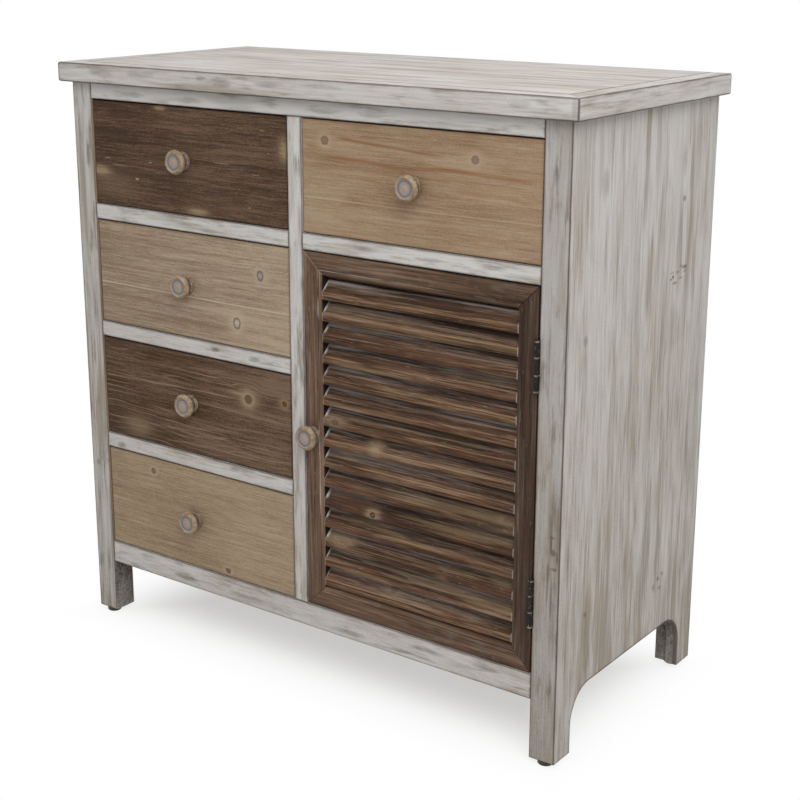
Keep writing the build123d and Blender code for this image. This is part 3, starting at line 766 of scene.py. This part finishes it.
# Door frame. Two stiles and two rails of fir, mitred at the corners, with a narrow bead along the inner edge.
# The stain is as dark as the dark drawers, wears to tan along the bead and is chipped in the quirk beside it.
DOOR_DEEP = (0.048, 0.027, 0.017)
DOOR_MIDDLE = (0.108, 0.064, 0.041)
DOOR_PALE = (0.22, 0.15, 0.1)
DOOR_RED = (0.14, 0.068, 0.042)
DOOR_GREY = (0.17, 0.132, 0.105)
SPECK_PALE = (0.36, 0.29, 0.235, 1)
QUIRK_DARK = (0.02, 0.013, 0.009, 1)
BEAD_TAN = (0.3, 0.21, 0.13, 1)
CHIP_PALE = (0.5, 0.42, 0.36, 1)
STILE_EDGE_SHADE = (0.014, 0.009, 0.007, 1)
MITRE_PALE = (0.34, 0.27, 0.2, 1)
EDGE_DARK = (0.025, 0.016, 0.011, 1)
EDGE_TAN = (0.2, 0.135, 0.09, 1)
QUIRK_AT = (0.0207, 0.0213, 0.0217, 0.0223)
BEAD_AT = (0.0218, 0.0226, 0.0232, 0.0246)
INNER_EDGE = (0.0262, 0.0268)
OUTER_PART = (0.016, 0.02)
BEHIND_FACE = (0.0015, 0.0035)
MITRE_WIDTH = (0.0004, 0.0012)
LATCH_CORNER = (0.1, 0.12)
HINGE_CORNER = (0.25, 0.27)
UPPER_CORNERS = (0.5, 0.52)
DOOR_EASE = 0.0005
door_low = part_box("door_stile_latch")[0]
door_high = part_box("door_stile_hinge")[1]


def frame_stain(node, run, seed, shade):
    """Brown stain on one member of the door frame, paler on its bead and darker in the quirk beside it, with
    painted shadow on the inner edges of the stiles.
    """
    low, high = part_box(node)
    material, shader, place = new_finish(f"door_stain_{node}")
    hairs = place.fibres(run, 950, 16, seed, rough=0.7)
    fibre = place.fibres(run, 260, 5, seed + 4, detail=4, rough=0.65)
    bands = place.fibres(run, 60, 3, seed + 8)
    tone = 0.5 + fibre.swing(2.0) + bands.swing(1.3) + hairs.swing(1.5)
    colour = tone.between(0.1, 0.55).mix(shaded(DOOR_DEEP, shade), shaded(DOOR_MIDDLE, shade))
    colour = tone.between(0.5, 1.0).mix(colour, shaded(DOOR_PALE, shade))
    mottle = place.fibres(run, 110, 34, seed + 12, detail=4, rough=0.65) + hairs.swing(0.25)
    colour = (mottle.between(0.5, 0.68) * 0.5).mix(colour, shaded(DOOR_RED, shade))
    colour = (mottle.short_of(0.33, 0.48) * 0.4).mix(colour, shaded(DOOR_GREY, shade))
    specks = place.fibres(run, 520, 110, seed + 16, detail=2).between(0.68, 0.76)
    colour = (specks * 0.5).mix(colour, SPECK_PALE)
    x, y, z = place.parts()
    sideways = (x - door_low.x).at_most(door_high.x - x)
    upright = (z - door_low.z).at_most(door_high.z - z)
    inset = sideways.at_most(upright)
    quirk = inset.band(*QUIRK_AT)
    colour = (quirk * 0.7).mix(colour, QUIRK_DARK)
    colour = (inset.band(*BEAD_AT) * fibre.between(0.45, 0.65) * 0.35).mix(colour, BEAD_TAN)
    pale_corner = x.short_of(*LATCH_CORNER) * z.between(*UPPER_CORNERS)
    chips = (bands + hairs.swing(0.6) + pale_corner * 0.14).between(0.56, 0.64) * quirk
    colour = (chips * 0.9).mix(colour, CHIP_PALE)
    # The inner edges of the stiles, between the slats, are painted near black as shadow.
    if run == RUN_Z:
        shaded_inner_edge = inset.between(*INNER_EDGE) * (y - door_low.y).between(*BEHIND_FACE)
        colour = (shaded_inner_edge * 0.9).mix(colour, STILE_EDGE_SHADE)
    mitre = abs(sideways - upright + fibre.swing(0.003)).short_of(*MITRE_WIDTH)
    crisp = x.between(*HINGE_CORNER) * z.between(*UPPER_CORNERS)
    colour = (mitre * (0.3 + crisp * 0.55)).mix(colour, QUIRK_DARK)
    colour = (mitre * pale_corner * 0.7).mix(colour, MITRE_PALE)
    edge = edge_distance(place, low, high) + fibre.swing(0.003)
    outer = inset.short_of(*OUTER_PART)
    colour = (edge.short_of(0.0003, 0.0014) * outer * 0.5).mix(colour, EDGE_DARK)
    colour = (edge.short_of(0.0004, 0.0016) * (1 - outer) * 0.7).mix(colour, EDGE_TAN)
    lay_on(shader, colour, 0.62 + hairs.swing(0.35), hairs + fibre * 0.5, 0.0005, gloss=0.14)
    return material


for node, run, seed, shade in (
    ("door_stile_latch", RUN_Z, 2.9, 1.22),
    ("door_stile_hinge", RUN_Z, 6.1, 0.57),
    ("door_rail_top", RUN_X, 9.4, 1.05),
    ("door_rail_bottom", RUN_X, 13.2, 1.1),
):
    dress(node, frame_stain(node, run, seed, shade), DOOR_EASE)

# Louvre slats. Fifteen fixed slats tenoned into the stiles, sloping up to the back. Each is stained dark and
# dry-brushed with grey, and the top edge of its nose is worn to tan. Its slope is dark brown, and paler
# higher up as painted light against the shade of the nose above. Its crest is grey, partly dry brush and
# partly a painted highlight. Heights on a slat are in millimetres.
SLAT_COUNT = 15
SLAT_HEIGHT = 0.0235
SLOPE_FROM = (8.5, 13.0)
UPPER_FROM = (14.0, 20.0)
ARRIS_AT = (8.8, 9.6, 9.9, 11.0)
CREST_FROM = (19.6, 21.6)
CHIPPED_FROM = (11, 15)
END_WORN = (0.0004, 0.0018)
END_CHIPPED = (0.001, 0.0045)
GREYER_LEFT_OF = 0.13
SLAT_SHIFT = 0.37
NOSE_DEEP = (0.042, 0.022, 0.013, 1)
NOSE_MIDDLE = (0.135, 0.073, 0.042, 1)
NOSE_PALE = (0.265, 0.16, 0.09, 1)
SLOPE_DEEP = (0.034, 0.019, 0.012, 1)
SLOPE_MIDDLE = (0.118, 0.07, 0.044, 1)
SLOPE_PALE = (0.2, 0.14, 0.098, 1)
UPPER_LIT_DEEP = (0.05, 0.032, 0.025, 1)
UPPER_LIT_MIDDLE = (0.185, 0.127, 0.096, 1)
UPPER_LIT_PALE = (0.34, 0.262, 0.215, 1)
ARRIS_TAN = (0.38, 0.225, 0.12, 1)
CREST_GREY_AND_HIGHLIGHT = (0.6, 0.555, 0.535, 1)
TINT_OLIVE = (0.2, 0.142, 0.075, 1)
TINT_RED = (0.135, 0.06, 0.038, 1)
DASH_PALE = (0.4, 0.33, 0.26, 1)
DUST_GREY = (0.27, 0.215, 0.178, 1)
END_GREY = (0.4, 0.36, 0.33, 1)
END_PALE_AND_HIGHLIGHT = (0.58, 0.55, 0.53, 1)
SWIRL_PALE = (0.4, 0.285, 0.18, 1)
HEART_DARK = (0.03, 0.017, 0.011, 1)
HEART_BROWN = (0.2, 0.12, 0.07, 1)
SLAT_KNOTS = (
    (0.0575, 0.3775, 0.016, 0.006, 0.5, 0.5), (0.121, 0.356, 0.012, 0.012, 0.8, 0.0),
    (0.117, 0.266, 0.011, 0.006, 0.75, 0.9), (0.066, 0.221, 0.02, 0.011, 0.6, 0.0),
    (0.225, 0.202, 0.012, 0.007, 0.4, 0.0), (0.145, 0.169, 0.014, 0.008, 0.55, 0.3),
    (0.312, 0.225, 0.016, 0.006, 0.4, 0.0), (0.315, 0.303, 0.018, 0.005, 0.4, 0.3),
)
slats_low, slats_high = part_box("door_slats")
slat_pitch = (slats_high.z - slats_low.z - SLAT_HEIGHT) / (SLAT_COUNT - 1)
opening_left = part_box("door_stile_latch")[1].x
opening_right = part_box("door_stile_hinge")[0].x
material, shader, place = new_finish("louvre_stain")
x, y, z = place.parts()
course = ((z - slats_low.z) / slat_pitch).maths("FLOOR")
rise = (z - slats_low.z - course * slat_pitch) / MILLIMETRE
shifted = place.node("ShaderNodeCombineXYZ", None, {0: x + course * SLAT_SHIFT, 1: y, 2: z})
hairs = shifted.fibres(RUN_X, 1000, 30, 3.3, rough=0.7)
fibre = shifted.fibres(RUN_X, 300, 6, 7.7, detail=4, rough=0.65)
bands = shifted.fibres(RUN_X, 70, 4, 12.1)
cloud = shifted.fibres(RUN_X, 20, 9, 16.6, detail=2)
tint = shifted.fibres(RUN_X, 45, 6, 21.3, detail=2) + fibre.swing(0.8)
dashes = shifted.fibres(RUN_X, 850, 55, 26.4, detail=2).between(0.66, 0.76)
tone = 0.4 + fibre.swing(3.0) + bands.swing(1.8) + hairs.swing(2.6) + cloud.swing(0.7)
nose = tone.between(0.0, 0.6).mix(NOSE_DEEP, NOSE_MIDDLE)
nose = tone.between(0.55, 1.15).mix(nose, NOSE_PALE)
slope = tone.between(0.0, 0.65).mix(SLOPE_DEEP, SLOPE_MIDDLE)
slope = tone.between(0.6, 1.15).mix(slope, SLOPE_PALE)
# The upper slope is painted lighter, as painted light against the shade that the nose above casts on it.
upper = tone.between(0.0, 0.65).mix(UPPER_LIT_DEEP, UPPER_LIT_MIDDLE)
upper = tone.between(0.6, 1.15).mix(upper, UPPER_LIT_PALE)
uneven = rise + fibre.swing(6)
colour = uneven.between(*SLOPE_FROM).mix(nose, slope)
colour = uneven.between(*UPPER_FROM).mix(colour, upper)
broken = fibre + bands.swing(1.6)
colour = (rise.band(*ARRIS_AT) * broken.between(0.46, 0.66) * 0.6).mix(colour, ARRIS_TAN)
# The crest is dry-brushed grey and also made light as a painted highlight, more of it towards the left.
greyed_and_lit = (broken + (GREYER_LEFT_OF - x) * 1.4).between(0.3, 0.65)
colour = ((rise + hairs.swing(2)).between(*CREST_FROM) * greyed_and_lit * 0.75).mix(colour, CREST_GREY_AND_HIGHLIGHT)
colour = (tint.between(0.5, 0.72) * 0.42).mix(colour, TINT_OLIVE)
colour = (tint.short_of(0.3, 0.47) * 0.4).mix(colour, TINT_RED)
colour = (dashes * 0.55).mix(colour, DASH_PALE)
dusty = (bands + hairs.swing(0.7) + fibre.swing(0.5)).between(0.6, 0.8)
colour = (dusty * 0.45).mix(colour, DUST_GREY)
ends = (x - opening_left).at_most(opening_right - x) + hairs.swing(0.003)
colour = (ends.short_of(*END_WORN) * 0.6).mix(colour, END_GREY)
# Pale marks along the upper left ends of the slats are partly chips and partly a painted highlight.
chipped_and_lit = (ends + cloud.swing(0.012)).short_of(*END_CHIPPED) * rise.between(*CHIPPED_FROM)
colour = (chipped_and_lit * x.short_of(*LATCH_CORNER) * 0.9).mix(colour, END_PALE_AND_HIGHLIGHT)
for across, up, wide, tall, strong, dark in SLAT_KNOTS:
    oval = x.oval(z, (across, up, wide, tall), fibre.swing(5) + cloud.swing(5) + hairs.swing(3))
    swirl = (oval * 1.3).maths("FRACT").between(0.3, 0.9) * 0.5 + 0.5
    colour = ((oval * -1.2).maths("EXPONENT").at_most(1) * swirl * strong).mix(colour, SWIRL_PALE)
    if dark:
        heart = x.oval(z, (across + 0.001, up, wide * 0.36, tall * 0.6), hairs.swing())
        colour = (heart.short_of(0.8, 1.4) * dark).mix(colour, HEART_DARK)
        colour = (heart.short_of(0.1, 0.5) * dark * 0.8).mix(colour, HEART_BROWN)
lay_on(shader, colour, 0.62 + hairs.swing(0.35), hairs + fibre * 0.5, 0.0006, gloss=0.12)
dress("door_slats", material, DOOR_EASE)

# Hinges. Two butt hinges of black painted steel let into the door and the post, each with a steel pin. The
# paint is rubbed bright in specks, and pale along the knuckles' edges as wear and painted highlight.
HINGE_BLACK = (0.009, 0.008, 0.006, 1)
HINGE_BRIGHT = (0.36, 0.31, 0.22, 1)
PIN_GREY = (0.05, 0.048, 0.046, 1)
PIN_BRIGHT = (0.5, 0.49, 0.47, 1)
HINGE_EASE = 0.0003
KNUCKLE_EDGES = (0.181, 0.2, 0.221, 0.24, 0.472, 0.4915, 0.5125, 0.5315)
KNUCKLE_RUB_AND_HIGHLIGHT = (0.0004, 0.0014)


def painted_steel(name, paint, bright, amount, edges=()):
    """Thin paint over steel, rubbed through in specks, and pale along edges at these heights as wear and
    painted highlight.
    """
    material, shader, place = new_finish(name)
    specks = place.fibres(RUN_Z, 700, 260, 4.4, rough=0.7)
    rubbed = specks.between(0.6, 0.74) * amount
    z = place.parts()[2]
    # Pale lines at the knuckle edges are partly rubbed paint and partly painted highlight.
    for edge in edges:
        worn_and_lit_edge = abs(z - edge).short_of(*KNUCKLE_RUB_AND_HIGHLIGHT)
        rubbed = rubbed.at_least(worn_and_lit_edge * specks.between(0.4, 0.55) * amount)
    lay_on(shader, rubbed.mix(paint, bright), 0.5 + specks.swing(0.4), specks, 0.0001, gloss=0.2)
    material.node_tree.links.new((rubbed * 0.8).output, shader.inputs["Metallic"])
    return material


black_steel = painted_steel("hinge_black", HINGE_BLACK, HINGE_BRIGHT, amount=0.9, edges=KNUCKLE_EDGES)
for node in ("hinge_frame_leaves", "hinge_door_leaves"):
    dress(node, black_steel, HINGE_EASE)
dress("hinge_pins", painted_steel("pin_steel", PIN_GREY, PIN_BRIGHT, amount=0.9))

# Door catch. A magnet in a moulded black case, screwed under the head rail, and the small zinc-plated steel
# plate on the back of the door that it holds.
ZINC_GREY = (0.35, 0.35, 0.34, 1)
ZINC_BRIGHT = (0.6, 0.6, 0.58, 1)
PLATE_EASE = 0.0002
dress("door_catch", moulded_black("catch_plastic"))
dress("catch_plate", painted_steel("plate_zinc", ZINC_GREY, ZINC_BRIGHT, amount=1.0), PLATE_EASE)

# Floor, light and camera. A plain white studio floor under soft light from above the camera, and the camera
# where the photograph was taken.
FLOOR_HALF = 9.0
FLOOR_LIT = (0.6, 0.6, 0.6, 1)
FLOOR_SEEN = (0.95, 0.95, 0.95, 1)
WHITE = (1, 1, 1, 1)
SHADOW_REACH = (-0.14, 0.05)
WORLD_LIGHT = 0.6
LAMP_AIM = Vector((0, 0, 0.45))


def on_show(start):
    """1 for rays from the camera, also off gloss or through glass, and 0 for the rest of the light."""
    rays = start.node("ShaderNodeLightPath").output.node.outputs
    seen = Wire(start.tree, rays["Is Camera Ray"])
    for ray in ("Is Glossy Ray", "Is Transmission Ray"):
        seen = seen.at_least(Wire(start.tree, rays[ray]))
    return seen


floor_mesh = bpy.data.meshes.new("floor")
floor_corners = [(FLOOR_HALF * x, FLOOR_HALF * y, 0) for x, y in ((-1, -1), (1, -1), (1, 1), (-1, 1))]
floor_mesh.from_pydata(floor_corners, [], [(0, 1, 2, 3)])
floor = bpy.data.objects.new("floor", floor_mesh)
bpy.context.scene.collection.objects.link(floor)
floor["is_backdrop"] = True
material, shader, place = new_finish("studio_floor")
seen = on_show(place)
links = material.node_tree.links
links.new(seen.mix(FLOOR_LIT, FLOOR_SEEN).output, shader.inputs["Base Color"])
shader.inputs["Roughness"].default_value = 0.9
shader.inputs["Specular IOR Level"].default_value = 0.0
x, y, z = place.parts()
outside = (abs(x) - cad_high.x).at_least(abs(y) - cad_high.y)
far = 0.5 + outside.between(*SHADOW_REACH) * 0.5
white = place.node("ShaderNodeEmission", None, {"Color": WHITE, "Strength": 1.0})
blend = place.node("ShaderNodeMixShader", None, {0: far * seen, 2: white})
links.new(shader.outputs[0], blend.output.node.inputs[1])
links.new(blend.output, material.node_tree.nodes["Material Output"].inputs["Surface"])
floor_mesh.materials.append(material)

world = bpy.data.worlds.new("studio")
bpy.context.scene.world = world
world.use_nodes = True
strength = WORLD_LIGHT + on_show(Wire(world.node_tree)) * (1 - WORLD_LIGHT)
background = world.node_tree.nodes["Background"]
world.node_tree.links.new(strength.output, background.inputs["Strength"])
background.inputs["Color"].default_value = WHITE

for name, place, size, power in (
    ("key", (1.7, -1.6, 2.5), 1.8, 50),
    ("overhead", (0.1, 0.0, 2.7), 1.6, 7),
):
    lamp = bpy.data.lights.new(name, "AREA")
    lamp.size = size
    lamp.energy = power
    light = bpy.data.objects.new(name, lamp)
    light.location = place
    light.rotation_euler = (LAMP_AIM - Vector(place)).to_track_quat("-Z", "Y").to_euler()
    bpy.context.scene.collection.objects.link(light)

lens = bpy.data.cameras.new("camera")
lens.sensor_width = 36
lens.lens = 68.83
lens.shift_x = 0.0029
lens.shift_y = -0.0519
camera = bpy.data.objects.new("camera", lens)
camera.location = (1.21443, -1.6155, 0.97037)
camera.rotation_euler = (math.radians(74.6), math.radians(-0.07), math.radians(36.26))
bpy.context.scene.collection.objects.link(camera)
bpy.context.scene.camera = camera
bpy.context.scene.view_settings.view_transform = "Standard"

low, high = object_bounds()
